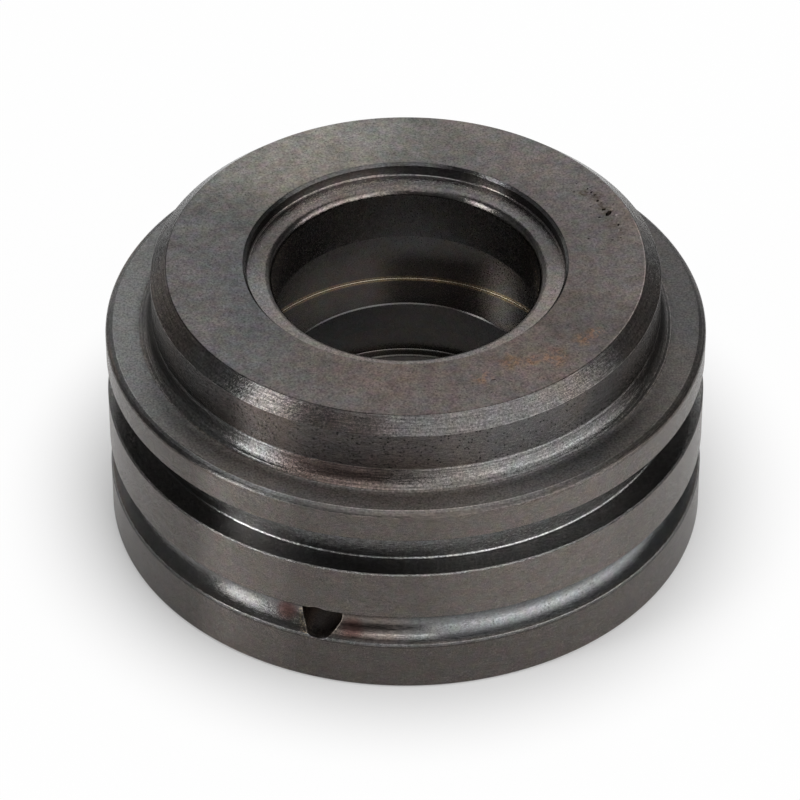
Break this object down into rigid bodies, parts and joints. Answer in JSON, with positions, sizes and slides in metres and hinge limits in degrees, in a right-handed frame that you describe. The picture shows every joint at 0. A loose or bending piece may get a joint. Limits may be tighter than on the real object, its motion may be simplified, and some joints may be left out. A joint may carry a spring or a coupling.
{
  "type": "guide bushing",
  "caption": "Turned steel rod guide bushing with a stepped chamfered nose, a square seal groove, a round wire groove with a radial hole, and a bore with a seal chamber.",
  "frame": {"origin": "on the turning axis, at the flat inner face that the part stands on", "axes": "+Z along the turning axis from the flat inner face to the nose; -Y towards the viewer, with the wire hole turned 16.8 degrees from -Y towards -X"},
  "size_m": [0.09, 0.09, 0.0445],
  "materials": {
    "blackened_steel": "dark oxidised, fine turned marks"
  },
  "bodies": {
    "root": {"guide_bushing": "blackened_steel"}
  },
  "joints": []
}
